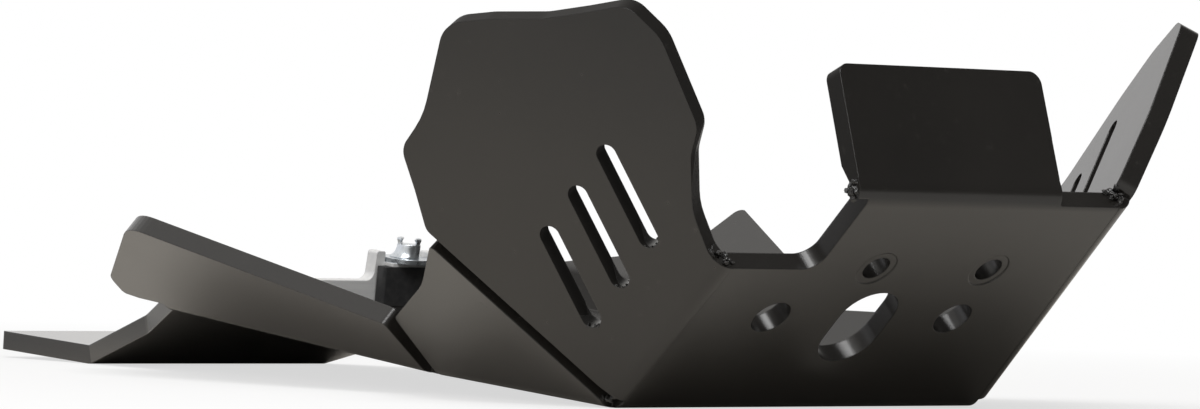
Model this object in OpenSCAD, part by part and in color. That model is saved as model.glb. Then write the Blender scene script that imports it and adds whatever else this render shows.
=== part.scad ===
// Motorcycle skid plate with a linkage guard, cut from one plastic sheet and folded.
// Millimetres. +X points to the front wheel, +Y to the left, +Z up.
// The origin is on the ground, halfway between front and rear and between the two sides.
// The modules below are drawn from the front fold and the middle plane of the bottom,
// and placed() moves each piece to that origin.
// Each panel is an outline drawn on its inner face and grown outwards by the sheet.
// A fold is a groove closed on the inside, so its inner corner is sharp and its outside round.

/* [Sheet] */
// Thickness of the sheet
sheet_t = 8; // [6:0.5:10]
// Gap left between the edges of two panels that meet
panel_gap = 1; // [0.4:0.1:2]

/* [Front panel] */
// Width between the side folds at the bottom
front_w = 181; // [170:1:200]
// Height from the bottom fold to the fold of the tab, along the panel
front_h = 112; // [106:1:125]
// Slope of the panel above level, in degrees
front_slope = 43; // [38:0.5:50]
// Slant of each side fold towards the middle, in degrees
front_taper = 2.8; // [1:0.1:4]
// Height of the exhaust notch's floor, along the panel
notch_h = 76.5; // [72:0.5:80]
// Radius of the notch's inner corner
notch_r = 8; // [4:0.5:12]

/* [Tab] */
// Distance of the tab's right edge from the middle plane
tab_right = 45; // [40:0.5:50]
// Width of the tab
tab_w = 103; // [90:1:108]
// Distance that the tab leans to the left from its foot to its top
tab_lean = 5; // [0:0.5:6]
// Height of the tab from its fold
tab_h = 48; // [35:1:60]
// Angle that the tab is folded from the front panel, in degrees
tab_fold = 70.5; // [60:0.5:80]
// Radius of the tab's top corners
tab_r = 5; // [2:0.5:10]

/* [Holes in the front panel] */
// Diameter of the two frame bolt holes
bolt_hole_d = 11.5; // [8:0.5:12]
// Diameter of the shallow seat round each of them
bolt_seat_d = 17.4; // [15:0.2:20]
// Depth of that seat
bolt_seat_depth = 0.4; // [0.2:0.1:3]
// Height of the bolt holes along the panel
bolt_hole_h = 77.4; // [75:0.2:82]
// Distance of the right bolt hole from the middle plane
bolt_right = 15.7; // [12:0.1:20]
// Distance of the left bolt hole from the middle plane
bolt_left = 41.9; // [36:0.1:46]
// Diameter of the two drain holes
drain_hole_d = 16.5; // [12:0.5:20]
// Height of the drain holes along the panel
drain_hole_h = 49.3; // [40:0.5:55]
// Distance of the right drain hole from the middle plane
drain_right = 49.9; // [44:0.1:54]
// Distance of the left drain hole from the middle plane
drain_left = 42.6; // [38:0.1:50]
// Width of the oil plug opening
plug_w = 27; // [22:0.5:30]
// Length of the oil plug opening, up the panel
plug_l = 39.5; // [34:0.5:44]
// Height of its centre along the panel
plug_h = 44; // [40:0.5:50]
// Distance of the oil plug opening from the middle plane, to the right
plug_right = 2.5; // [0:0.5:8]

/* [Wings] */
// Angle that the right wing is folded from the front panel, in degrees
right_wing_fold = 55; // [50:0.5:60]
// Angle that the left wing is folded from the front panel, in degrees
left_wing_fold = 50; // [46:0.5:54]
// Width of the slots in the wings
wing_slot_w = 8; // [5:0.5:10]
// Length of the slots between the centres of their ends
wing_slot_l = 35; // [30:0.5:42]
// Slant of the right wing's slots to their fold, in degrees
right_slot_slant = 62.5; // [55:0.5:70]
// Slant of the left wing's slots to their fold, in degrees
left_slot_slant = 60.5; // [55:0.5:70]
// Distance from one slot to the next, up the right wing
right_slot_step = 21.7; // [16:0.1:24]
// Distance from one slot to the next, up the left wing
left_slot_step = 27; // [20:0.5:28]

/* [Bottom] */
// Length of the front part of the bottom
bottom_l = 109.4; // [105:0.2:125]
// Rise of the front part towards the rear, in degrees
bottom_slope = 4.2; // [2:0.1:6]
// Length of the rear part of the bottom
rear_l = 182; // [170:1:195]
// Extra rise of the rear part, in degrees
rear_kick = 1.7; // [1:0.1:3]

/* [Side walls] */
// Angle that each middle side wall is folded up, in degrees
side_fold = 47; // [45:0.5:49]
// Height of the right middle side wall's tip, along the wall
side_h = 73; // [66:0.5:78]
// Height of the left middle side wall's tip, along the wall
left_side_h = 58; // [50:0.5:70]
// Distance of the middle side wall's rear edge from the front fold
side_l = 105; // [98:0.5:105]
// Angle that each rear side wall is folded up, in degrees
fin_fold = 40; // [34:0.5:46]
// Height of the rear side wall at its front end, along the wall
fin_front_h = 26.7; // [20:0.5:32]
// Greatest height of the right rear side wall, along the wall
fin_h = 56; // [48:0.5:62]
// Height of the left rear side wall's tip, along the wall
left_fin_h = 76; // [70:0.5:80]
// Distance of the rear side wall's front edge from the kink of the bottom
fin_start = 3.8; // [2:0.2:8]
// Distance that the rear side wall reaches past the end of the bottom
fin_overhang = 27; // [15:0.5:32]

/* [Linkage guard] */
// Slope of the tongue down towards the rear, in degrees
tongue_slope = 14.8; // [13:0.1:18]
// Distance from the tongue's front to where its sides get steeper
tongue_bend = 44.5; // [30:0.5:60]
// Half of the tongue's width there
tongue_half_w = 72.9; // [68:0.5:80]
// Width of the tail, and of the tongue where they meet
tail_w = 126; // [110:1:134]
// Length of the tail
tail_l = 68.5; // [50:0.5:80]
// Radius of the tail's corners
tail_r = 2; // [1:0.5:8]
// Rise of the tail towards the rear, in degrees
tail_slope = 3.1; // [1:0.1:6]

/* [Clamp] */
// Distance of the clamp bolt behind the kink of the bottom
clamp_back = 143.8; // [120:0.5:150]
// Diameter of the clamp bolt
clamp_bolt_d = 8; // [6:1:8]
// Running clearance round the bolt in the pieces that it holds
bolt_clearance = 0.25; // [0.2:0.05:0.5]
// Width of the rubber block behind the bracket's front, across the plate
block_w = 22; // [20:1:24]
// Width of the rubber block in front of the bracket
block_front_w = 32; // [28:1:36]
// Distance from the clamp bolt to the front of the rubber block
block_front = 6; // [5:0.5:9]
// Distance from the clamp bolt to the rear of the rubber block
block_rear = 8; // [7:0.5:12]
// Height of the rubber block
block_h = 16.5; // [12:0.5:20]
// Thickness of the bracket's saddle under the washer
saddle_t = 1.5; // [1:0.5:5]
// Width of the bracket across the plate
bracket_w = 104; // [90:1:110]
// Height of the bracket's two feet
foot_h = 10; // [7:0.5:11]
// Length of the bracket's feet along the plate
foot_l = 6.5; // [5:0.5:7]
// Height of the bracket's posts above its saddle
post_rise = 4.4; // [1:0.2:5]
// Thickness of each post, across the plate
post_w = 4.4; // [3:0.2:6]
// Radius of the hollow between a foot and its post
post_fillet = 4; // [2:0.5:5]
// Outer diameter of the washer
washer_d = 22; // [20:0.5:24]
// Thickness of the washer
washer_t = 2; // [1.6:0.2:3]
// Width of the slotted nut across its flats
nut_af = 10.8; // [10.5:0.1:13]
// Height of the nut, with its prongs
nut_h = 8.4; // [7:0.2:11]
// Width of the nut's slot
nut_slot_w = 4.4; // [3:0.2:5]
// Depth of the nut's slot
nut_slot_depth = 2.8; // [2:0.2:3.4]
// Turn of the nut's slot from the plate's length, in degrees
nut_turn = 49; // [0:1:90]

/* [Hidden] */
$fn = 64;

// Largest turn between two points of a rounded corner, in degrees
arc_step = 7;
// Length by which a cut runs past the faces that it leaves
past = 1;
// Reach of trimming cuts over and under a panel's inner face
trim_depth = 2 * sheet_t;
// Width of plate that is drawn together with a side flange
fold_lap = 6;
// Smallest distance that keeps two cuts from sharing a face
hair = 0.06;
// Width and height of the bead that closes a side fold
bead_w = 0.4;
bead_rise = hair;
// Distance that the cuts at the tab's foot reach over the front panel's inner face
tab_foot_depth = 2.5;
// Height at which a flange's free lower edge stays clear of the fold line
fold_clear = 1.2;
// Distance by which the left notch's floor lies above the fold of the tab
left_notch_rise = 2.2;
// Lower end of each wing's lowest slot: [distance up the fold, distance from the fold]
right_slot_start = [22.3, 22.8];
left_slot_start = [28.2, 20];
// Heights at which the wings' outlines leave the seams with the side walls
right_wing_foot_h = 92;
left_wing_foot_h = 56;
// Distances by which each slot lies farther from the fold than the one below
right_slot_drift = 0.9;
left_slot_drift = 5;
// Front face of the bracket's feet and posts, from the bolt
bracket_front = -0.3;
// Gap between the washer and the bracket's posts
post_gap = 0.6;
// Width that the nut's foot flares beyond its flats, and the height of that foot
nut_flare = 5;
nut_foot_h = 1.4;
// Left end of the tab's foot, from the middle plane
tab_foot_left = tab_w - tab_right - tab_lean;
half_w = front_w / 2;
rear_slope = bottom_slope + rear_kick;
sheet_colour = [0.16, 0.155, 0.145];
rubber_colour = [0.05, 0.05, 0.055];
alloy_colour = [0.72, 0.72, 0.71];
zinc_colour = [0.62, 0.66, 0.7];

// Height of the sharp edge under the end of the bottom, where the tongue starts
crease_rise = bottom_l * sin(bottom_slope) + rear_l * sin(rear_slope) + sheet_t * (1 - cos(rear_slope));
// Length of the tongue, so that its end stands on the ground as the front fold does
tongue_l = (crease_rise - sheet_t * (1 - cos(tongue_slope))) / sin(tongue_slope);

// Lengths along a side fold, for a height up the front panel
function up_fold(h) = h / cos(front_taper);
// Half of the front panel's width at a height up the panel
function front_half(h) = half_w - h * tan(front_taper);

function unit(v) = v / norm(v);
function flat(p) = [p.x, p.y];
function turned(v, a) = [v.x * cos(a) - v.y * sin(a), v.x * sin(a) + v.y * cos(a)];

// Points of the corner at p, between its neighbours a and b, rounded with radius p.z
function corner(a, p, b) =
    let (
        u = unit(flat(a) - flat(p)),
        w = unit(flat(b) - flat(p)),
        half = acos(u * w) / 2,
        centre = flat(p) + unit(u + w) * p.z / sin(half),
        start = flat(p) + u * p.z / tan(half),
        turn = 180 - 2 * half,
        steps = ceil(turn / arc_step),
        side = sign(cross(u, w))
    )
    p.z == 0 ? [flat(p)] : [for (i = [0:steps]) centre + turned(start - centre, -side * turn * i / steps)];

// Closed outline through corners given as [x, y, radius]
function outline(v) =
    let (n = len(v))
    [for (i = [0:n - 1]) each corner(v[(i + n - 1) % n], v[i], v[(i + 1) % n])];

// Directions on the right-hand side, for the line in which a wing meets its side wall
fold_dir = [cos(front_slope) * cos(front_taper), sin(front_taper), sin(front_slope) * cos(front_taper)];
across_dir = [cos(front_slope) * sin(front_taper), -cos(front_taper), sin(front_slope) * sin(front_taper)];
front_in = [-sin(front_slope), 0, cos(front_slope)];
function wing_dir(fold) = cos(fold) * across_dir + sin(fold) * front_in;
function wing_in(fold) = cos(fold) * front_in - sin(fold) * across_dir;
rear_dir = [-cos(bottom_slope), 0, sin(bottom_slope)];
bottom_in = [sin(bottom_slope), 0, cos(bottom_slope)];
wall_dir = [0, -cos(side_fold), 0] + sin(side_fold) * bottom_in;
wall_in = [0, sin(side_fold), 0] + cos(side_fold) * bottom_in;
function seam_dir(fold) = unit(cross(wall_in, wing_in(fold)));
// The same line as a 2D direction in the wing and in the side wall
function wing_seam(fold) = [seam_dir(fold) * fold_dir, seam_dir(fold) * wing_dir(fold)];
function wall_seam(fold) = [seam_dir(fold) * rear_dir, seam_dir(fold) * wall_dir];

// Point on a seam at height h above the fold, moved sideways by half the gap
function seam_point(d, h, side) = unit(d) * h / unit(d).y + side * panel_gap / 2 * [unit(d).y, -unit(d).x];

// Foot of a wing's outline, along its seam, ending where the fold starts
function wing_foot(fold, height) =
    let (low = seam_point(wing_seam(fold), 5, 1), high = seam_point(wing_seam(fold), height, 1))
    [
        [high.x, high.y, 6],
        [low.x, low.y, 0],
        [panel_gap, 0, 0],
    ];

// Right wing outline: [distance up the fold, distance from the fold, corner radius]
right_wing_corners = concat(
    [
        [up_fold(notch_h), 0, 0],
        [up_fold(notch_h) + 0.9, 4, 9],
        [up_fold(notch_h) + 10.3, 18, 28],
        [105, 31, 16],
        [116.3, 35.3, 10],
        [135.4, 66, 16],
        [137, 83, 9],
        [122, 94.5, 18],
        [109, 105, 22],
        [94, 121, 12],
        [80.5, 133, 12],
        [43.5, 118.7, 40],
        [26, 118, 9],
        [15.5, 104.5, 14],
    ],
    wing_foot(right_wing_fold, right_wing_foot_h)
);

// Left wing outline, in the same terms: it starts higher up and reaches less far
left_wing_corners = concat(
    [
        [up_fold(front_h + left_notch_rise), 0, 0],
        [119.6, 2.5, 7],
        [136.5, 27.5, 60],
        [152, 70, 7],
        [147, 78, 6],
        [126, 82.5, 30],
        [101, 81, 40],
        [57, 73, 30],
        [31, 78, 14],
    ],
    wing_foot(left_wing_fold, left_wing_foot_h)
);

// Front end of a middle side wall's outline: [distance behind the front fold, height, radius]
function side_front(fold, height) =
    let (low = seam_point(wall_seam(fold), 5, 1), high = seam_point(wall_seam(fold), height, 1))
    [
        [panel_gap, 0, 0],
        [low.x, low.y, 0],
        [high.x, high.y, 2],
    ];
right_side_corners = concat(
    side_front(right_wing_fold, side_h),
    [
        [72.4, 49.2, 45],
        [side_l + 3.5, 26.5, 3],
        [side_l, 0, 0],
    ]
);
left_side_corners = concat(
    side_front(left_wing_fold, left_side_h),
    [
        [68, 29.5, 20],
        [side_l + 3.5, 25.6, 3],
        [side_l, 0, 0],
    ]
);

// Rear side walls: [distance behind the kink, height, corner radius]
fin_end = rear_l + fin_overhang;
fin_foot = [
    [fin_end, 12.5, 8],
    [fin_end, 2 * fold_clear, 2.5],
    [rear_l - 2 * past, -past, 0],
];
right_fin_corners = concat(
    [
        [fin_start, -past, 0],
        [fin_start, fin_front_h, 3],
        [fin_end - 57, fin_h, 22],
    ],
    fin_foot
);
left_fin_corners = concat(
    [
        [fin_start, -past, 0],
        [fin_start, fin_front_h + 4.5, 3],
        [fin_end - 103.5, left_fin_h, 4],
        [fin_end - 96.5, 45, 14],
    ],
    fin_foot
);

// Takes away what lies outside an outline between two values of x, on both sides of the sheet
module trim(points, from, to, depth) {
    translate([0, 0, -depth])
        linear_extrude(2 * depth)
            difference() {
                translate([min(from, to), -front_w])
                    square([abs(to - from), 2 * front_w]);
                polygon(points);
            }
}

// Inner normal of a panel whose forward direction rises by an angle, seen from the right
function normal(a) = [-sin(a), cos(a)];

// Points round a fold line, between the normals of the panels that it joins
function round_fold(centre, from, to, radius) =
    let (steps = ceil(abs(to - from) / arc_step))
    [for (i = [0:steps]) centre + radius * normal(from + (to - from) * i / steps)];

// Side view of the folded strip from the tail to the tab: inner face, then outer face
// Both ends run a little past the outlines that trim them
function strip_points() =
    let (
        front = [0, sheet_t],
        kink = front + bottom_l * [-cos(bottom_slope), sin(bottom_slope)],
        crease = kink + rear_l * [-cos(rear_slope), sin(rear_slope)] - sheet_t * normal(-rear_slope),
        foot = crease + sheet_t * normal(tongue_slope) - tongue_l * [cos(tongue_slope), sin(tongue_slope)],
        tail = foot + (tail_l + past) * [-cos(tail_slope), sin(tail_slope)],
        tab_slope = front_slope + tab_fold,
        brow = front + front_h * [cos(front_slope), sin(front_slope)],
        top = brow + (tab_h + past) * [cos(tab_slope), sin(tab_slope)]
    )
    concat(
        [tail, foot],
        round_fold(crease, tongue_slope, -rear_slope, sheet_t),
        [kink, front, brow, top, top - sheet_t * normal(tab_slope)],
        round_fold(brow, tab_slope, front_slope, -sheet_t),
        round_fold(front, front_slope, -bottom_slope, -sheet_t),
        round_fold(kink, -bottom_slope, -rear_slope, -sheet_t),
        [crease],
        round_fold(foot, tongue_slope, -tail_slope, -sheet_t),
        [tail - sheet_t * normal(-tail_slope)]
    );

strip_x = [for (p = strip_points()) p.x];

// Greatest distance of a wing's outside from the middle plane
function wing_out(corners, fold) = max([
    for (p = outline(corners)) half_w + (p.y * cos(fold) + sheet_t * sin(fold)) * cos(front_taper) - p.x * sin(front_taper)
]);

// Greatest distance of a rear side wall's outside from the middle plane
function fin_out(corners) = half_w + max([for (p = outline(corners)) p.y]) * cos(fin_fold) + sheet_t * sin(fin_fold);

// Moves a piece from the front fold to the origin
module placed() {
    right = max(wing_out(right_wing_corners, right_wing_fold), fin_out(right_fin_corners));
    left = max(wing_out(left_wing_corners, left_wing_fold), fin_out(left_fin_corners));
    translate([-(min(strip_x) + past * cos(tail_slope) + max(strip_x)) / 2, (right - left) / 2, 0])
        children();
}

// Section of a side flange: a strip of the plate, the round outside of the fold, and the flange
function flange_section(angle, height) =
    let (out = [-cos(angle), sin(angle)])
    concat(
        [[fold_lap, -0.3 * sheet_t], [2 * bead_w, -0.3 * sheet_t], [bead_w, bead_rise], 2 * bead_w * out],
        [height * out, height * out - sheet_t * normal(-angle)],
        round_fold([0, 0], -angle, 0, -sheet_t - bead_rise),
        [[bead_w, -sheet_t - bead_rise], [2 * bead_w, -0.7 * sheet_t], [fold_lap, -0.7 * sheet_t]]
    );

// Flange along +X from x = span[0] to span[1], cut to an outline of [x, height] points
module flange(points, span, folded, angle, height) {
    difference() {
        translate([span[0], 0, 0])
            rotate([90, 0, 90])
                linear_extrude(span[1] - span[0])
                    polygon(flange_section(angle, height));
        rotate([-angle, 0, 0]) {
            translate([0, 0, -sheet_t - past])
                linear_extrude(sheet_t + 2 * past)
                    difference() {
                        translate([span[0] - past, -height - past])
                            square([span[1] - span[0] + 2 * past, height + past - fold_clear / 2]);
                        polygon([for (p = points) [p.x, -p.y]]);
                    }
            for (end = [[span[0] - past, folded[0]], [folded[1], span[1] + past]])
                translate([end[0], -fold_clear, -trim_depth])
                    cube([end[1] - end[0], trim_depth, 2 * trim_depth]);
        }
    }
}

// Round-ended slot through the sheet, between two centres
module slot_cut(length, width) {
    translate([0, 0, -sheet_t - past]) {
        for (x = [0, length])
            translate([x, 0, 0])
                cylinder(d = width, h = sheet_t + 2 * past);
        translate([0, -width / 2, 0])
            cube([length, width, sheet_t + 2 * past]);
    }
}

module hole_cut(diameter) {
    translate([0, 0, -sheet_t - past])
        cylinder(d = diameter, h = sheet_t + 2 * past);
}

// Frames of the panels: the inner face is z = 0 and +Z looks inwards
module on_front() {
    translate([0, 0, sheet_t])
        rotate([0, -front_slope, 0])
            children();
}

module on_bottom() {
    translate([0, 0, sheet_t])
        rotate([0, bottom_slope, 0])
            children();
}

module on_rear() {
    on_bottom()
        translate([-bottom_l, 0, 0])
            rotate([0, rear_kick, 0])
                children();
}

// The tongue turns about the sharp edge on the underside
module on_tongue() {
    on_rear()
        translate([-rear_l, 0, -sheet_t])
            rotate([0, -rear_slope - tongue_slope, 0])
                translate([0, 0, sheet_t])
                    children();
}

module on_tab() {
    on_front()
        translate([front_h, 0, 0])
            rotate([0, -tab_fold, 0])
                children();
}

module on_tail() {
    on_tongue()
        translate([-tongue_l, 0, 0])
            rotate([0, tongue_slope + tail_slope, 0])
                children();
}

// Frames of the right-hand flanges: distances from the fold run along -Y
module on_wing_fold() {
    on_front()
        translate([0, -half_w, 0])
            rotate([0, 0, front_taper])
                children();
}

module on_wing(fold) {
    on_wing_fold()
        rotate([-fold, 0, 0])
            children();
}

// Outline of the front panel, and on past the fold of the tab
function front_points() = outline([
    [0, -half_w, 0],
    [notch_h, -front_half(notch_h), 0],
    [notch_h, -tab_right, notch_r],
    [front_h + tab_h, -tab_right, 0],
    [front_h + tab_h, tab_foot_left, 0],
    [front_h + left_notch_rise, tab_foot_left, 1.5],
    [front_h + left_notch_rise, front_half(front_h), 0],
    [0, half_w, 0],
]);

function tab_points() = outline([
    [0, -tab_right - tab_lean, 0],
    [tab_h, -tab_right, tab_r],
    [tab_h, tab_w - tab_right, tab_r],
    [0, tab_foot_left, 0],
]);

// Outline of the tongue, and on past the tail
function tongue_points() = outline([
    [-past, -half_w, 0],
    [-past, half_w, 0],
    [-tongue_bend, tongue_half_w, 20],
    [-tongue_l, tail_w / 2, 0],
    [-tongue_l - tail_l - trim_depth, tail_w / 2, 0],
    [-tongue_l - tail_l - trim_depth, -tail_w / 2, 0],
    [-tongue_l, -tail_w / 2, 0],
    [-tongue_bend, -tongue_half_w, 20],
]);

function tail_points() = outline([
    [0, tail_w / 2, 0],
    [-tail_l, tail_w / 2, tail_r],
    [-tail_l, -tail_w / 2, tail_r],
    [0, -tail_w / 2, 0],
]);

module front_holes() {
    for (y = [-bolt_right, bolt_left])
        translate([bolt_hole_h, y, 0]) {
            hole_cut(bolt_hole_d);
            translate([0, 0, -sheet_t - past])
                cylinder(d = bolt_seat_d, h = bolt_seat_depth + past);
        }
    for (y = [-drain_right, drain_left])
        translate([drain_hole_h, y, 0])
            hole_cut(drain_hole_d);
    translate([plug_h - (plug_l - plug_w) / 2, -plug_right, 0])
        slot_cut(plug_l - plug_w, plug_w);
}

// Frees the round outside of the tab's fold at both ends, and the panel's flat end beside it
module tab_foot_cuts() {
    translate([front_h + past / 2, -front_w, -trim_depth])
        cube([trim_depth, front_w - tab_right - tab_lean, trim_depth + tab_foot_depth]);
    translate([front_h + left_notch_rise + past / 2, tab_foot_left + hair, -trim_depth])
        cube([trim_depth, front_w, trim_depth + tab_foot_depth]);
    translate([front_h - past, tab_foot_left + hair, hair])
        cube([trim_depth, front_w, trim_depth]);
}

// Tail, tongue, bottom, front panel and tab: one strip, trimmed panel by panel
module strip() {
    difference() {
        translate([0, half_w, 0])
            rotate([90, 0, 0])
                linear_extrude(front_w)
                    polygon(strip_points());
        on_front() {
            trim(front_points(), panel_gap, front_h + left_notch_rise + past, tab_h);
            front_holes();
            tab_foot_cuts();
        }
        on_tab()
            trim(tab_points(), 2 * past, tab_h + 2 * past, trim_depth);
        on_tongue()
            trim(tongue_points(), -past, -tongue_l - tail_l - trim_depth, tail_l);
        on_tail()
            trim(tail_points(), tail_r - tail_l, -tail_l - 2 * past, trim_depth);
        on_clamp() {
            hole_cut(clamp_bolt_d + 2 * bolt_clearance);
            head_recess();
        }
    }
}

// Wing with three slanted slots, the lowest of them from a point [up the fold, away from it]
module wing(corners, fold, folded_to, first_slot, step, slant) {
    points = outline(corners);
    on_wing_fold()
        difference() {
            flange(
                points, [0, max([for (p = points) p.x]) + past], [panel_gap, folded_to],
                fold, max([for (p = points) p.y]) + past
            );
            rotate([-fold, 0, 0])
                for (i = [0:2])
                    translate([first_slot.x, -first_slot.y, 0] + i * [step.x, step.y, 0])
                        rotate([0, 0, -slant])
                            slot_cut(wing_slot_l, wing_slot_w);
        }
}

module side_wall(corners) {
    points = outline(corners);
    on_bottom()
        translate([0, -half_w, 0])
            flange(
                [for (p = points) [-p.x, p.y]],
                [-max([for (p = points) p.x]) - past, 0], [-side_l, -panel_gap],
                side_fold, max([for (p = points) p.y]) + past
            );
}

module fin(corners) {
    points = outline(corners);
    on_rear()
        translate([0, -half_w, 0])
            flange(
                [for (p = points) [-p.x, p.y]],
                [-fin_end, -fin_start], [panel_gap - rear_l, -fin_start],
                fin_fold, max([for (p = points) p.y]) + past
            );
}

module skid_plate() {
    color(sheet_colour)
        placed() {
            strip();
            wing(
                right_wing_corners, right_wing_fold, up_fold(notch_h),
                right_slot_start, [right_slot_step, -right_slot_drift], right_slot_slant
            );
            side_wall(right_side_corners);
            fin(right_fin_corners);
            mirror([0, 1, 0]) {
                wing(
                    left_wing_corners, left_wing_fold, up_fold(front_h + left_notch_rise),
                    left_slot_start, [left_slot_step, -left_slot_drift], left_slot_slant
                );
                side_wall(left_side_corners);
                fin(left_fin_corners);
            }
        }
}

// Frame of the clamp: z = 0 is the inner face of the bottom, at the bolt
module on_clamp() {
    on_rear()
        translate([-clamp_back, 0, 0])
            children();
}

// Countersink for the bolt's head, with room round it
module head_recess() {
    translate([0, 0, -sheet_t])
        bolt_head(bolt_clearance);
}

// Countersunk head, its flat side down, grown by some room
module bolt_head(room) {
    head_r = clamp_bolt_d;
    head_h = clamp_bolt_d / 2;
    translate([0, 0, -room])
        cylinder(r1 = head_r + room, r2 = clamp_bolt_d / 2 + room, h = head_h + room);
}

// T-shaped from above: the bracket's posts stand behind its two arms
module rubber_block() {
    arm = block_front - bracket_front - panel_gap / 2;
    color(rubber_colour)
        placed() on_clamp()
            difference() {
                linear_extrude(block_h)
                    polygon(outline([
                        [-block_rear, -block_w / 2, 2],
                        [block_front - arm, -block_w / 2, 0],
                        [block_front - arm, -block_front_w / 2, 1],
                        [block_front, -block_front_w / 2, 1.5],
                        [block_front, block_front_w / 2, 1.5],
                        [block_front - arm, block_front_w / 2, 1],
                        [block_front - arm, block_w / 2, 0],
                        [-block_rear, block_w / 2, 2],
                    ]));
                translate([0, 0, -past])
                    cylinder(d = clamp_bolt_d + 2 * bolt_clearance, h = block_h + 2 * past);
            }
}

// Front view of the bracket: feet, hollows, posts, and the saddle over the block
function bracket_corners(s) =
    let (
        inner = block_w / 2 + panel_gap / 2,
        outer = inner + post_w,
        top = block_h + saddle_t + post_rise
    )
    [
        [s * bracket_w / 2, 0, 0],
        [s * bracket_w / 2, foot_h, 1.5],
        [s * (outer + 1), foot_h, post_fillet],
        [s * outer, top, 1.2],
        [s * (washer_d / 2 + post_gap), top, 0.8],
        [s * (washer_d / 2 + post_gap), block_h + saddle_t, 0],
    ];

// The feet and posts are one narrow bar, and the saddle alone reaches on under the washer
module clamp_bracket() {
    right = bracket_corners(-1);
    left = bracket_corners(1);
    inner = block_w / 2 + panel_gap / 2;
    color(alloy_colour)
        placed() on_clamp()
            difference() {
                translate([bracket_front - foot_l, 0, 0])
                    rotate([90, 0, 90])
                        linear_extrude(foot_l - bracket_front + block_front - panel_gap / 2)
                            polygon(outline(concat(
                                right,
                                [for (i = [5:-1:0]) left[i]],
                                [[inner, 0, 0], [inner, block_h, 0], [-inner, block_h, 0], [-inner, 0, 0]]
                            )));
                for (s = [-1, 1])
                    translate([bracket_front, s * bracket_w / 2 - bracket_w / 2 + s * (washer_d + post_gap) / 2, -past])
                        cube([block_front, bracket_w, block_h + saddle_t + post_rise + 2 * past]);
                translate([0, 0, -past])
                    cylinder(d = clamp_bolt_d + 2 * bolt_clearance, h = block_h + saddle_t + 2 * past);
            }
}

module flat_washer() {
    color(zinc_colour)
        placed() on_clamp()
            translate([0, 0, block_h + saddle_t])
                difference() {
                    cylinder(d = washer_d, h = washer_t);
                    translate([0, 0, -past])
                        cylinder(d = clamp_bolt_d + 2 * bolt_clearance, h = washer_t + 2 * past);
                }
}

// Nut with a flared foot, a hexagon and two prongs left by its slot
module slotted_nut() {
    color(zinc_colour)
        placed() on_clamp()
            translate([0, 0, block_h + saddle_t + washer_t])
                rotate([0, 0, nut_turn])
                    difference() {
                        union() {
                            cylinder(d1 = nut_af + nut_flare, d2 = nut_af, h = nut_foot_h);
                            cylinder(d = nut_af / cos(30), h = nut_h, $fn = 6);
                        }
                        translate([0, 0, -past])
                            cylinder(d = clamp_bolt_d + 0.1, h = nut_h + 2 * past);
                        translate([-nut_slot_w / 2, -nut_af, nut_h - nut_slot_depth])
                            cube([nut_slot_w, 2 * nut_af, nut_slot_depth + past]);
                    }
}

module clamp_bolt() {
    color(zinc_colour)
        placed() on_clamp()
            translate([0, 0, -sheet_t]) {
                bolt_head(0);
                cylinder(d = clamp_bolt_d, h = sheet_t + block_h + saddle_t + washer_t + nut_h - nut_slot_depth);
            }
}

skid_plate();
rubber_block();
clamp_bracket();
flat_washer();
slotted_nut();
clamp_bolt();
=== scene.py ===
import math
import random

import bmesh
import bpy
from mathutils import Matrix, Vector, noise


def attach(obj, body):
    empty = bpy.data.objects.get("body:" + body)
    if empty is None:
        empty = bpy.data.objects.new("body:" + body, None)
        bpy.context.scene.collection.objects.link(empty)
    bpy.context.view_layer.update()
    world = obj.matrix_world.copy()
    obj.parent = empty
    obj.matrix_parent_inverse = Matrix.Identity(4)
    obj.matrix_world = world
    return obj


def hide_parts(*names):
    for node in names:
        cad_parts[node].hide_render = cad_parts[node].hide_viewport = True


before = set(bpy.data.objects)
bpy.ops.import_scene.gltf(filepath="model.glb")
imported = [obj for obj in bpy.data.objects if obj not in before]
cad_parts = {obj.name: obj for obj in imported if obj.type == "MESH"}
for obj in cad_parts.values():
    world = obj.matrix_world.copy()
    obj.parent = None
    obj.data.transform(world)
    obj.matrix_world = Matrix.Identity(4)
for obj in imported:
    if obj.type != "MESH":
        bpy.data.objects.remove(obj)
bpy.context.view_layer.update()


scene = bpy.context.scene
scene.view_settings.view_transform = "Standard"

# Camera, and how far its axis turns left and up to place the object in the picture
AXIS_LEFT = 0.03419
AXIS_UP = 0.03165
camera_data = bpy.data.cameras.new("camera")
camera_data.sensor_width = 36
camera_data.lens = 172.1
camera_data.clip_end = 50
camera = bpy.data.objects.new("camera", camera_data)
scene.collection.objects.link(camera)
scene.camera = camera
to_camera = Vector((0.7523, -0.6578, 0.0358)).normalized()
right = Vector((0.6572, 0.7532, 0.0279)).normalized()
above = Vector((-0.0453, 0.0025, 0.9990)).normalized()
camera.location = (1.8561, -1.4524, 0.0875)
look = (-to_camera - AXIS_LEFT * right + AXIS_UP * above).normalized()
side = look.cross(above).normalized()
top = side.cross(look)
camera.rotation_mode = "QUATERNION"
camera.rotation_quaternion = Matrix((side, top, -look)).transposed().to_quaternion()


# Sizes of the CAD plate: the fold's place and the half width in metres, other lengths in millimetres
FRONT_SLOPE = math.radians(43)
TAPER = math.radians(2.8)
TAB_FOLD = math.radians(70.5)
FRONT_FOLD = Vector((0.186113, 0.007891, 0.008))
HALF_WIDTH = 0.0905
SHEET = 8
FRONT_HEIGHT = 112
RIGHT_WING_FOLD = math.radians(55)


def on_front(up, left, inward):
    """Place in metres of a point given in mm: up the front panel, left of its middle, inward."""
    ahead = up * math.cos(FRONT_SLOPE) - inward * math.sin(FRONT_SLOPE)
    rise = up * math.sin(FRONT_SLOPE) + inward * math.cos(FRONT_SLOPE)
    return FRONT_FOLD + Vector((ahead, left, rise)) / 1000


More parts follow.
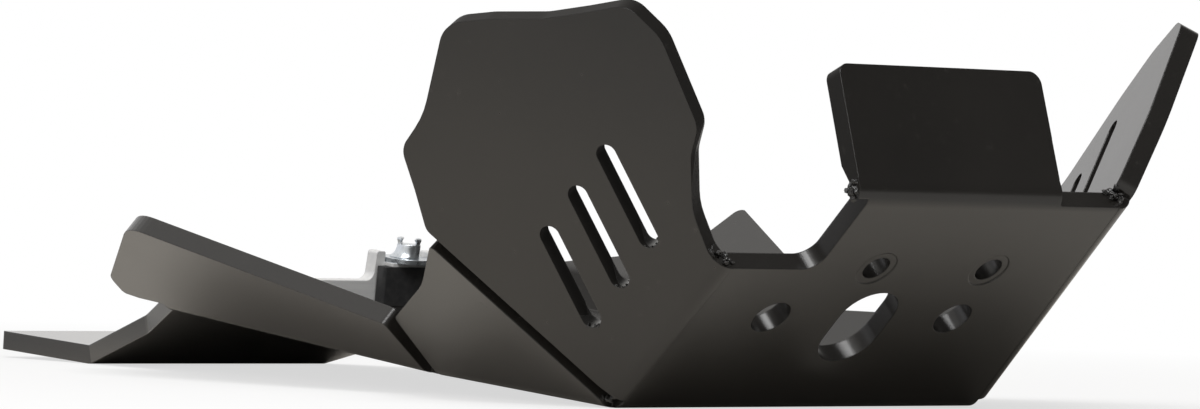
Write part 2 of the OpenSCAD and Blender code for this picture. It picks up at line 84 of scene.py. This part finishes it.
def on_tab(up, left, inward):
    """Place in metres of a point given in mm: up the tab from its fold, left, inward."""
    along = FRONT_HEIGHT + up * math.cos(TAB_FOLD) - inward * math.sin(TAB_FOLD)
    return on_front(along, left, up * math.sin(TAB_FOLD) + inward * math.cos(TAB_FOLD))


def on_right_wing(up, away, inward):
    """Place in metres of a point given in mm: up the right wing's fold, away from it, inward."""
    across = -away * math.cos(RIGHT_WING_FOLD) + inward * math.sin(RIGHT_WING_FOLD)
    height = away * math.sin(RIGHT_WING_FOLD) + inward * math.cos(RIGHT_WING_FOLD)
    along = up * math.cos(TAPER) - across * math.sin(TAPER)
    left = up * math.sin(TAPER) + across * math.cos(TAPER) - HALF_WIDTH * 1000
    return on_front(along, left, height)


# Materials
class Nodes:
    """Short names for building one material's nodes."""

    def __init__(self, name):
        self.material = bpy.data.materials.new(name)
        self.material.use_nodes = True
        self.tree = self.material.node_tree
        self.shader = self.tree.nodes["Principled BSDF"]
        self.output = self.tree.nodes["Material Output"]

    def new(self, kind, **values):
        node = self.tree.nodes.new(kind)
        for key, value in values.items():
            setattr(node, key, value)
        return node

    def link(self, a, b):
        self.tree.links.new(a, b)

    def place(self):
        return self.new("ShaderNodeTexCoord").outputs["Object"]

    def noise(self, scale, detail=3.0, rough=0.5, stretch=(1, 1, 1)):
        node = self.new("ShaderNodeTexNoise")
        node.inputs["Scale"].default_value = scale
        node.inputs["Detail"].default_value = detail
        node.inputs["Roughness"].default_value = rough
        mapping = self.new("ShaderNodeMapping")
        mapping.inputs["Scale"].default_value = stretch
        self.link(self.place(), mapping.inputs["Vector"])
        self.link(mapping.outputs[0], node.inputs["Vector"])
        return node.outputs["Fac"]

    def ramp(self, source, stops):
        node = self.new("ShaderNodeValToRGB")
        elements = node.color_ramp.elements
        for element, (at, value) in zip(elements, stops):
            element.position = at
            element.color = (value, value, value, 1)
        self.link(source, node.inputs["Fac"])
        return node.outputs["Color"]

    def mix(self, factor, a, b):
        node = self.new("ShaderNodeMix", data_type="RGBA")
        self.put(factor, node.inputs["Factor"])
        self.put(a, node.inputs["A"])
        self.put(b, node.inputs["B"])
        return node.outputs["Result"]

    def put(self, value, socket):
        if isinstance(value, bpy.types.NodeSocket):
            self.link(value, socket)
        elif isinstance(value, tuple) and len(value) == 3:
            socket.default_value = (*value, 1)
        else:
            socket.default_value = value

    def math(self, operation, a, b):
        node = self.new("ShaderNodeMath", operation=operation)
        self.put(a, node.inputs[0])
        self.put(b, node.inputs[1])
        return node.outputs[0]

    def bump(self, height, distance, strength, under=None):
        node = self.new("ShaderNodeBump")
        node.inputs["Strength"].default_value = strength
        node.inputs["Distance"].default_value = distance
        self.link(height, node.inputs["Height"])
        if under is not None:
            self.link(under, node.inputs["Normal"])
        return node.outputs["Normal"]

    def bevel(self, radius):
        node = self.new("ShaderNodeBevel", samples=6)
        node.inputs["Radius"].default_value = radius
        return node.outputs["Normal"]


def grey(value):
    return (value, value, value)


def between(m, value, low, high):
    """One where the value lies between two limits, else zero."""
    return m.math("MULTIPLY", m.math("GREATER_THAN", value, low), m.math("LESS_THAN", value, high))


# Where the sawn edges lie, in metres, and limits on the components of their normals
WING_FROM_X = 0.13
WING_BEYOND_Y = -0.098
WING_ABOVE_Z = 0.035
EDGE_LEAN = 0.5
TAB_Y = (-0.06, 0.07)
TAB_ABOVE_Z = 0.0845
TAB_END_TURN = -0.6


def sawn_edges(m):
    """One on the sawn edges of the right wing and on the tab's right end, else zero."""
    normal = m.new("ShaderNodeNewGeometry").outputs["Normal"]
    facing = m.new("ShaderNodeVectorMath", operation="DOT_PRODUCT")
    facing.inputs[1].default_value = (on_right_wing(0, 0, 1) - on_right_wing(0, 0, 0)).normalized()
    m.link(normal, facing.inputs[0])
    turned = m.new("ShaderNodeSeparateXYZ")
    m.link(normal, turned.inputs[0])
    place = m.new("ShaderNodeSeparateXYZ")
    m.link(m.place(), place.inputs[0])
    wing = m.math("LESS_THAN", place.outputs["Y"], WING_BEYOND_Y)
    wing = m.math("MULTIPLY", wing, m.math("GREATER_THAN", place.outputs["Z"], WING_ABOVE_Z))
    wing = m.math("MULTIPLY", wing, m.math("GREATER_THAN", place.outputs["X"], WING_FROM_X))
    wing = m.math("MULTIPLY", wing, between(m, facing.outputs["Value"], -EDGE_LEAN, EDGE_LEAN))
    tab = between(m, place.outputs["Y"], *TAB_Y)
    tab = m.math("MULTIPLY", tab, m.math("GREATER_THAN", place.outputs["Z"], TAB_ABOVE_Z))
    tab = m.math("MULTIPLY", tab, m.math("LESS_THAN", turned.outputs["Y"], TAB_END_TURN))
    return m.math("MAXIMUM", wing, tab)


def fade(m, value, start, end):
    """Rises smoothly from zero to one as the value goes from start to end."""
    node = m.new("ShaderNodeMapRange", interpolation_type="SMOOTHSTEP")
    node.inputs["From Min"].default_value = start
    node.inputs["From Max"].default_value = end
    m.link(value, node.inputs["Value"])
    return node.outputs["Result"]


# Places in metres between which the painted shade band and the painted sheen on the tail fade in, and how
# level the tail is
BAND_INNER_Y = (0.0905, 0.0965)
BAND_OUTER_Y = (0.118, 0.1125)
BAND_FRONT_X = (-0.02, -0.05)
TAIL_X = (-0.15, -0.19)
FACES_UP = 0.9


def painted_shade_band(m):
    """One on the band along the foot of the left fin, where its shine is cut to paint shade, else zero."""
    place = m.new("ShaderNodeSeparateXYZ")
    m.link(m.place(), place.inputs[0])
    band = fade(m, place.outputs["Y"], *BAND_INNER_Y)
    band = m.math("MULTIPLY", band, fade(m, place.outputs["Y"], *BAND_OUTER_Y))
    return m.math("MULTIPLY", band, fade(m, place.outputs["X"], *BAND_FRONT_X))


def tail_painted_sheen(m):
    """One on the upper faces of the tail and the tongue's end, where more shine paints a sheen, else zero.
    """
    turned = m.new("ShaderNodeSeparateXYZ")
    m.link(m.new("ShaderNodeNewGeometry").outputs["Normal"], turned.inputs[0])
    place = m.new("ShaderNodeSeparateXYZ")
    m.link(m.place(), place.inputs[0])
    upper = m.math("GREATER_THAN", turned.outputs["Z"], FACES_UP)
    return m.math("MULTIPLY", upper, fade(m, place.outputs["X"], *TAIL_X))


# Roughness and shine of the sheet and of its sawn edges, and the shine that paints a sheen on the tail and
# shade at the fin's foot
SATIN_ROUGHNESS = 0.18
SAWN_ROUGHNESS = 0.6
TAIL_ROUGHNESS = 0.14
SHEET_SHINE = 0.5
SAWN_SHINE = 0.13
TAIL_SHINE = 0.7
SHADE_BAND_SHINE = 0.05


def sheet_material():
    m = Nodes("sheet_plastic_look")
    cloud = m.noise(9, 4, 0.6)
    dust = m.noise(240, 3, 0.6)
    scratch = m.noise(70, 5, 0.7, (1, 16, 16))
    base = m.mix(m.ramp(cloud, [(0.3, 0.0), (0.7, 1.0)]), (0.0085, 0.0078, 0.0070), (0.013, 0.0118, 0.0105))
    base = m.mix(m.ramp(dust, [(0.64, 0.0), (0.8, 0.3)]), base, (0.05, 0.047, 0.043))
    m.link(base, m.shader.inputs["Base Color"])
    rough = m.math("ADD", m.math("MULTIPLY", cloud, 0.08), SATIN_ROUGHNESS)
    rough = m.math("ADD", rough, m.math("MULTIPLY", scratch, 0.06))
    sawn = sawn_edges(m)
    # More shine and less roughness on the tail's upper faces paint a sheen there
    tail = tail_painted_sheen(m)
    rough = m.mix(tail, rough, grey(TAIL_ROUGHNESS))
    m.link(m.mix(sawn, rough, grey(SAWN_ROUGHNESS)), m.shader.inputs["Roughness"])
    shine = m.mix(sawn, grey(SHEET_SHINE), grey(SAWN_SHINE))
    shine = m.mix(tail, shine, grey(TAIL_SHINE))
    # Less shine on the band at the left fin's foot paints shade there
    m.link(m.mix(painted_shade_band(m), shine, grey(SHADE_BAND_SHINE)), m.shader.inputs["Specular IOR Level"])
    m.shader.inputs["IOR"].default_value = 1.52
    normal = m.bevel(0.0007)
    normal = m.bump(m.noise(35, 3, 0.5), 0.00025, 0.3, normal)
    normal = m.bump(m.noise(900, 2, 0.5), 0.00004, 0.3, normal)
    m.link(normal, m.shader.inputs["Normal"])
    return m.material


def rubber_material():
    m = Nodes("block_rubber_look")
    dust = m.noise(300, 4, 0.6)
    base = m.mix(m.ramp(dust, [(0.4, 0.0), (0.8, 1.0)]), (0.016, 0.016, 0.017), (0.035, 0.034, 0.033))
    m.link(base, m.shader.inputs["Base Color"])
    m.shader.inputs["Roughness"].default_value = 0.62
    m.link(m.bump(m.noise(1400, 2), 0.00005, 0.5, m.bevel(0.0006)), m.shader.inputs["Normal"])
    return m.material


def alloy_material():
    m = Nodes("bracket_alloy_look")
    brushed = m.noise(260, 3, 0.6, (1, 0.06, 1))
    base = m.mix(m.ramp(brushed, [(0.3, 0.0), (0.7, 1.0)]), (0.62, 0.62, 0.62), (0.72, 0.72, 0.71))
    m.link(base, m.shader.inputs["Base Color"])
    m.shader.inputs["Metallic"].default_value = 0.1
    m.link(m.ramp(brushed, [(0.2, 0.38), (0.8, 0.52)]), m.shader.inputs["Roughness"])
    m.link(m.bump(brushed, 0.00004, 0.4, m.bevel(0.0006)), m.shader.inputs["Normal"])
    return m.material


def zinc_material():
    m = Nodes("zinc_steel_look")
    cloud = m.noise(450, 4, 0.6)
    base = m.mix(m.ramp(cloud, [(0.3, 0.0), (0.7, 1.0)]), (0.52, 0.56, 0.60), (0.68, 0.71, 0.74))
    m.link(base, m.shader.inputs["Base Color"])
    m.shader.inputs["Metallic"].default_value = 1.0
    m.link(m.ramp(cloud, [(0.2, 0.22), (0.8, 0.38)]), m.shader.inputs["Roughness"])
    m.link(m.bump(m.noise(1500, 2), 0.00003, 0.3, m.bevel(0.0004)), m.shader.inputs["Normal"])
    return m.material


def weld_material():
    m = Nodes("weld_residue_look")
    cloud = m.noise(700, 4, 0.6)
    base = m.mix(m.ramp(cloud, [(0.4, 0.0), (0.75, 1.0)]), (0.006, 0.006, 0.006), (0.02, 0.018, 0.017))
    m.link(base, m.shader.inputs["Base Color"])
    m.link(m.ramp(cloud, [(0.2, 0.08), (0.8, 0.3)]), m.shader.inputs["Roughness"])
    m.shader.inputs["IOR"].default_value = 1.55
    m.link(m.bump(m.noise(1800, 3), 0.0001, 0.5), m.shader.inputs["Normal"])
    return m.material


looks = {
    "skid_plate": sheet_material(),
    "rubber_block": rubber_material(),
    "clamp_bracket": alloy_material(),
}
zinc = zinc_material()
for node in ("flat_washer", "slotted_nut", "clamp_bolt"):
    looks[node] = zinc
for node, look_material in looks.items():
    for material_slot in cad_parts[node].material_slots:
        material_slot.material = look_material


def add_piece(name, mesh_data, material):
    """Turns a bmesh into a smooth-shaded piece that rides on the part."""
    bmesh.ops.recalc_face_normals(mesh_data, faces=mesh_data.faces)
    mesh = bpy.data.meshes.new(name)
    mesh_data.to_mesh(mesh)
    mesh_data.free()
    for polygon in mesh.polygons:
        polygon.use_smooth = True
    mesh.materials.append(material)
    piece = bpy.data.objects.new(name, mesh)
    scene.collection.objects.link(piece)
    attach(piece, "root")
    return piece


def stack(data, rings):
    """Closed shell over rings of points, each ring as long as the others."""
    rows = [[data.verts.new(point) for point in ring] for ring in rings]
    count = len(rows[0])
    for low, high in zip(rows, rows[1:]):
        for i in range(count):
            data.faces.new((low[i], low[(i + 1) % count], high[(i + 1) % count], high[i]))
    data.faces.new(rows[0][::-1])
    data.faces.new(rows[-1])


# Residue of the plastic weld: ragged, glossy lumps where the cuts meet the folds
def weld_lumps(name, spots, seed, detail=4):
    """One ragged lump round each spot, given as a place and a radius in mm."""
    chance = random.Random(seed)
    data = bmesh.new()
    for place, size in spots:
        made = bmesh.ops.create_icosphere(data, subdivisions=detail, radius=1.0)["verts"]
        axis = Vector([chance.uniform(-1, 1) for _ in range(3)]).normalized()
        turn = Matrix.Rotation(chance.uniform(0, math.tau), 3, axis)
        stretch = Vector((chance.uniform(1.0, 1.6), chance.uniform(0.7, 1.0), chance.uniform(0.5, 0.8)))
        shift = Vector([chance.uniform(-50, 50) for _ in range(3)])
        for vert in made:
            way = vert.co.normalized()
            swell = 1 + 0.45 * noise.noise(way * 1.3 + shift) + 0.25 * noise.noise(way * 3.1 + shift)
            swell += 0.12 * abs(noise.noise(way * 7 + shift))
            vert.co = place + turn @ Vector([w * t for w, t in zip(way * swell, stretch)]) * size / 1000
    return add_piece(name, data, weld_look)


weld_look = weld_material()
weld_lumps("weld_near_notch", [
    (on_front(76.9, -89.0, -5.8), 1.3),
    (on_front(76.8, -87.6, -4.0), 1.2),
    (on_front(76.8, -85.4, -5.4), 1.0),
    (on_front(77.2, -87.6, -2.4), 1.3),
    (on_right_wing(77.2, 1.0, -4.0), 1.4),
    (on_right_wing(77.2, 2.6, -6.0), 1.2),
    (on_right_wing(77.3, 4.4, -3.5), 1.3),
    (on_right_wing(77.7, 6.0, -3.0), 1.0),
], 11)
weld_lumps("weld_far_notch", [
    (on_front(114.4, 84.4, 0.2), 1.7),
    (on_front(114.6, 85.2, -2.2), 1.9),
    (on_front(114.2, 86.4, -4.8), 1.6),
    (on_front(114.3, 81.2, -0.6), 1.2),
    (on_front(114.4, 82.9, -2.8), 1.3),
    (on_front(117.0, 85.4, 0.0), 1.3),
    (on_front(116.6, 86.2, -3.0), 1.1),
], 23)
weld_lumps("weld_tab_foot", [
    (on_tab(-1.0, -49.2, -5.0), 1.9),
    (on_tab(-1.5, -49.4, -2.6), 1.8),
    (on_tab(0.6, -49.5, -6.4), 1.4),
    (on_tab(0.8, -49.6, -3.4), 1.5),
    (on_front(113.0, -49.4, -1.2), 1.5),
    (on_front(112.6, -49.2, -4.6), 1.5),
], 37)
weld_lumps("weld_front_corner", [
    (FRONT_FOLD + Vector((0.0010, -HALF_WIDTH - 0.0036, -0.0048)), 1.3),
    (FRONT_FOLD + Vector((-0.0018, -HALF_WIDTH - 0.0044, -0.0040)), 1.2),
    (FRONT_FOLD + Vector((0.0032, -HALF_WIDTH - 0.0030, -0.0036)), 1.1),
], 41)


# Burrs that the cutter left at the lower ends of the right wing's slots
SLOT_SLANT = math.radians(62.5)
FIRST_SLOT = (22.3, 22.8)
SLOT_STEP = (21.7, 0.9)
SLOT_END_R = 3.9
BURR_TURNS = (-50, -15, 20, 55)
BURR_DEPTH = 0.3


def slot_burrs():
    chance = random.Random(5)
    spots = []
    for slot in range(3):
        up = FIRST_SLOT[0] + SLOT_STEP[0] * slot
        away = FIRST_SLOT[1] + SLOT_STEP[1] * slot
        for turn in BURR_TURNS:
            angle = SLOT_SLANT + math.pi + math.radians(turn + chance.uniform(-8, 8))
            inward = BURR_DEPTH - SHEET + chance.uniform(-0.1, 0.5)
            place = on_right_wing(
                up + SLOT_END_R * math.cos(angle), away + SLOT_END_R * math.sin(angle), inward
            )
            spots.append((place, chance.uniform(0.45, 0.8)))
    weld_lumps("slot_burrs", spots, 53, 3)


slot_burrs()


# Wedge over the step that the CAD plate has in the tab's left edge, up to 16 mm above the front panel
TAB_HEIGHT = 48
TAB_FOOT_LEFT = 53
TAB_LEAN = 5
STEP_BOTTOM = 0.3
STEP_TOP = 15.9
WEDGE_ROOT = 52.6
WEDGE_LAYERS = (0.1 - SHEET, -5.0, -2.5, -0.06)


def tab_edge(up):
    """Just inside the tab's leaning left edge, at a distance up the tab."""
    return TAB_FOOT_LEFT - 0.02 + TAB_LEAN * up / TAB_HEIGHT


def tab_foot_fill():
    data = bmesh.new()
    rows = []
    for inward in WEDGE_LAYERS:
        low = (STEP_BOTTOM - inward * math.cos(TAB_FOLD)) / math.sin(TAB_FOLD)
        high = (STEP_TOP - inward * math.cos(TAB_FOLD)) / math.sin(TAB_FOLD)
        rows.append([
            on_tab(low, WEDGE_ROOT, inward),
            on_tab(high, WEDGE_ROOT, inward),
            on_tab(high, tab_edge(high), inward),
            on_tab(low, tab_edge(low), inward),
        ])
    stack(data, rows)
    piece = add_piece("tab_foot_fill", data, looks["skid_plate"])
    for polygon in piece.data.polygons:
        polygon.use_smooth = False


tab_foot_fill()


# Slotted nut with a lopsided cone for its foot and two bent prongs
NUT_TILT = math.radians(5.9)
NUT_TURN = math.radians(49)
NUT_FOOT = Vector((-0.06398, 0.007891, 0.05069))


def in_nut(x, y, z):
    """Point in the nut's own frame, in mm, its prongs on the x axis."""
    turned = Matrix.Rotation(NUT_TILT, 3, "Y") @ Matrix.Rotation(NUT_TURN, 3, "Z") @ Vector((x, y, z))
    return NUT_FOOT + turned / 1000


# Profile of the nut's body: height, and how far the foot flares at the lopsided side
NUT_R = 4.85
NUT_BODY_H = 5.66
NUT_PROFILE = (
    (0.02, 2.95), (0.25, 3.0), (0.7, 2.5), (1.3, 1.7), (2.1, 1.0),
    (3.1, 0.45), (4.2, 0.12), (5.3, 0.0), (NUT_BODY_H, -0.25),
)
# Profile of a prong: height, and its inner and outer distance from the axis
PRONG_PROFILE = (
    (5.3, 2.3, 4.75), (5.9, 2.5, 4.75), (6.5, 2.85, 4.8), (7.1, 2.7, 5.05),
    (7.6, 2.35, 5.2), (8.0, 2.4, 5.15), (8.25, 2.7, 4.9), (8.38, 3.2, 4.4),
)
PRONG_SPAN = 0.86
PRONG_HOLLOW = 0.25
FACET_DEPTH = 0.12
BODY_STEPS = 72
OUTER_STEPS = 16
INNER_STEPS = 8


def nut_body(data):
    """A cone, lopsided at the foot, with six faint facets that grow towards the top."""
    rings = []
    for z, flare in NUT_PROFILE:
        ring = []
        for i in range(BODY_STEPS):
            angle = math.tau * i / BODY_STEPS
            radius = NUT_R + flare * (0.5 - 0.5 * math.cos(angle))
            radius += FACET_DEPTH * math.cos(6 * angle) * (z / NUT_BODY_H)
            ring.append(in_nut(radius * math.cos(angle), radius * math.sin(angle), z))
        rings.append(ring)
    stack(data, rings)


def nut_prong(data, way):
    """One prong over the nut's rim: a thin neck under a rounded head that bends outward."""
    rings = []
    for z, inner, outer in PRONG_PROFILE:
        half = math.acos(inner / outer) * PRONG_SPAN
        ring = []
        for i in range(OUTER_STEPS + 1):
            angle = -half + 2 * half * i / OUTER_STEPS
            ring.append((outer * math.cos(angle), outer * math.sin(angle)))
        reach = ring[-1][1]
        for i in range(1, INNER_STEPS):
            part = i / INNER_STEPS
            ring.append((inner + PRONG_HOLLOW * math.sin(math.pi * part), reach * (1 - 2 * part)))
        rings.append([in_nut(way * x, way * y, z) for x, y in ring])
    stack(data, rings)


def nut():
    data = bmesh.new()
    nut_body(data)
    nut_prong(data, 1)
    nut_prong(data, -1)
    piece = add_piece("slotted_nut_shaped", data, zinc)
    piece.data.set_sharp_from_angle(angle=math.radians(40))
    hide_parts("slotted_nut")


nut()


# Floor, light and background. The pale pairs hold a distance from the middle in metres, then a whiteness
PALE_NEAR = (0.28, 0.66)
PALE_FAR = (0.8, 1.0)
DIMS_BETWEEN = (0.27, 0.40)
FLOOR_SEEN = grey(0.82)
FLOOR_MIRRORED_NEAR = (0.92, 0.87, 0.79)
FLOOR_MIRRORED_FAR = (0.60, 0.59, 0.57)


def floor_material():
    """A pale floor that keeps the shadow, whiter further out to the camera, dimmer there in reflections."""
    m = Nodes("floor_white")
    m.shader.inputs["Roughness"].default_value = 0.9
    m.shader.inputs["Specular IOR Level"].default_value = 0.1
    distance = m.new("ShaderNodeVectorMath", operation="LENGTH")
    m.link(m.place(), distance.inputs[0])
    paleness = m.ramp(distance.outputs["Value"], [PALE_NEAR, PALE_FAR])
    seen = m.new("ShaderNodeLightPath").outputs["Is Camera Ray"]
    away = fade(m, distance.outputs["Value"], *DIMS_BETWEEN)
    mirrored = m.mix(away, FLOOR_MIRRORED_NEAR, FLOOR_MIRRORED_FAR)
    m.link(m.mix(seen, mirrored, FLOOR_SEEN), m.shader.inputs["Base Color"])
    white = m.new("ShaderNodeEmission")
    blend = m.new("ShaderNodeMixShader")
    m.link(m.math("MULTIPLY", seen, paleness), blend.inputs["Fac"])
    m.link(m.shader.outputs[0], blend.inputs[1])
    m.link(white.outputs[0], blend.inputs[2])
    m.link(blend.outputs[0], m.output.inputs["Surface"])
    return m.material


bpy.ops.mesh.primitive_plane_add(size=30, location=(0, 0, 0))
floor = bpy.context.object
floor.name = "floor"
floor.data.materials.append(floor_material())


DIM_TOWARD = (0.62, 0.55, 0.56)
DIM_STRENGTH = 0.12
COOL_TOWARD = (-0.75, -0.55, -0.75)
WARM_WHITE = (1.0, 0.98, 0.95, 1)
COOL_WHITE = (0.97, 0.98, 1.03, 1)


def studio_world():
    """A white surround, dim overhead at the front left, cooler behind, plain white to the camera."""
    world = bpy.data.worlds.new("world")
    world.use_nodes = True
    tree = world.node_tree
    link = tree.links.new
    direction = tree.nodes.new("ShaderNodeTexCoord").outputs["Generated"]
    toward = tree.nodes.new("ShaderNodeVectorMath")
    toward.operation = "DOT_PRODUCT"
    toward.inputs[1].default_value = DIM_TOWARD
    link(direction, toward.inputs[0])
    shade = tree.nodes.new("ShaderNodeMapRange")
    shade.interpolation_type = "SMOOTHSTEP"
    shade.inputs["From Min"].default_value = 0.1
    shade.inputs["From Max"].default_value = 0.75
    shade.inputs["To Min"].default_value = 1.0
    shade.inputs["To Max"].default_value = DIM_STRENGTH
    link(toward.outputs["Value"], shade.inputs["Value"])
    soft = tree.nodes["Background"]
    behind = tree.nodes.new("ShaderNodeVectorMath")
    behind.operation = "DOT_PRODUCT"
    behind.inputs[1].default_value = COOL_TOWARD
    link(direction, behind.inputs[0])
    tint = tree.nodes.new("ShaderNodeMix")
    tint.data_type = "RGBA"
    tint.inputs["A"].default_value = WARM_WHITE
    tint.inputs["B"].default_value = COOL_WHITE
    link(behind.outputs["Value"], tint.inputs["Factor"])
    link(tint.outputs["Result"], soft.inputs["Color"])
    link(shade.outputs["Result"], soft.inputs["Strength"])
    white = tree.nodes.new("ShaderNodeBackground")
    white.inputs["Color"].default_value = (1, 1, 1, 1)
    blend = tree.nodes.new("ShaderNodeMixShader")
    link(tree.nodes.new("ShaderNodeLightPath").outputs["Is Camera Ray"], blend.inputs["Fac"])
    link(soft.outputs[0], blend.inputs[1])
    link(white.outputs[0], blend.inputs[2])
    link(blend.outputs[0], tree.nodes["World Output"].inputs["Surface"])
    scene.world = world


studio_world()


def lamp(name, place, target, size, power):
    data = bpy.data.lights.new(name, "AREA")
    data.shape = "RECTANGLE"
    data.size, data.size_y = size
    data.energy = power
    item = bpy.data.objects.new(name, data)
    item.location = place
    item.rotation_euler = (Vector(target) - Vector(place)).to_track_quat("-Z", "Y").to_euler()
    scene.collection.objects.link(item)


lamp("key", (1.05, -0.65, 1.85), (0.1, 0, 0.05), (1.3, 1.0), 34)
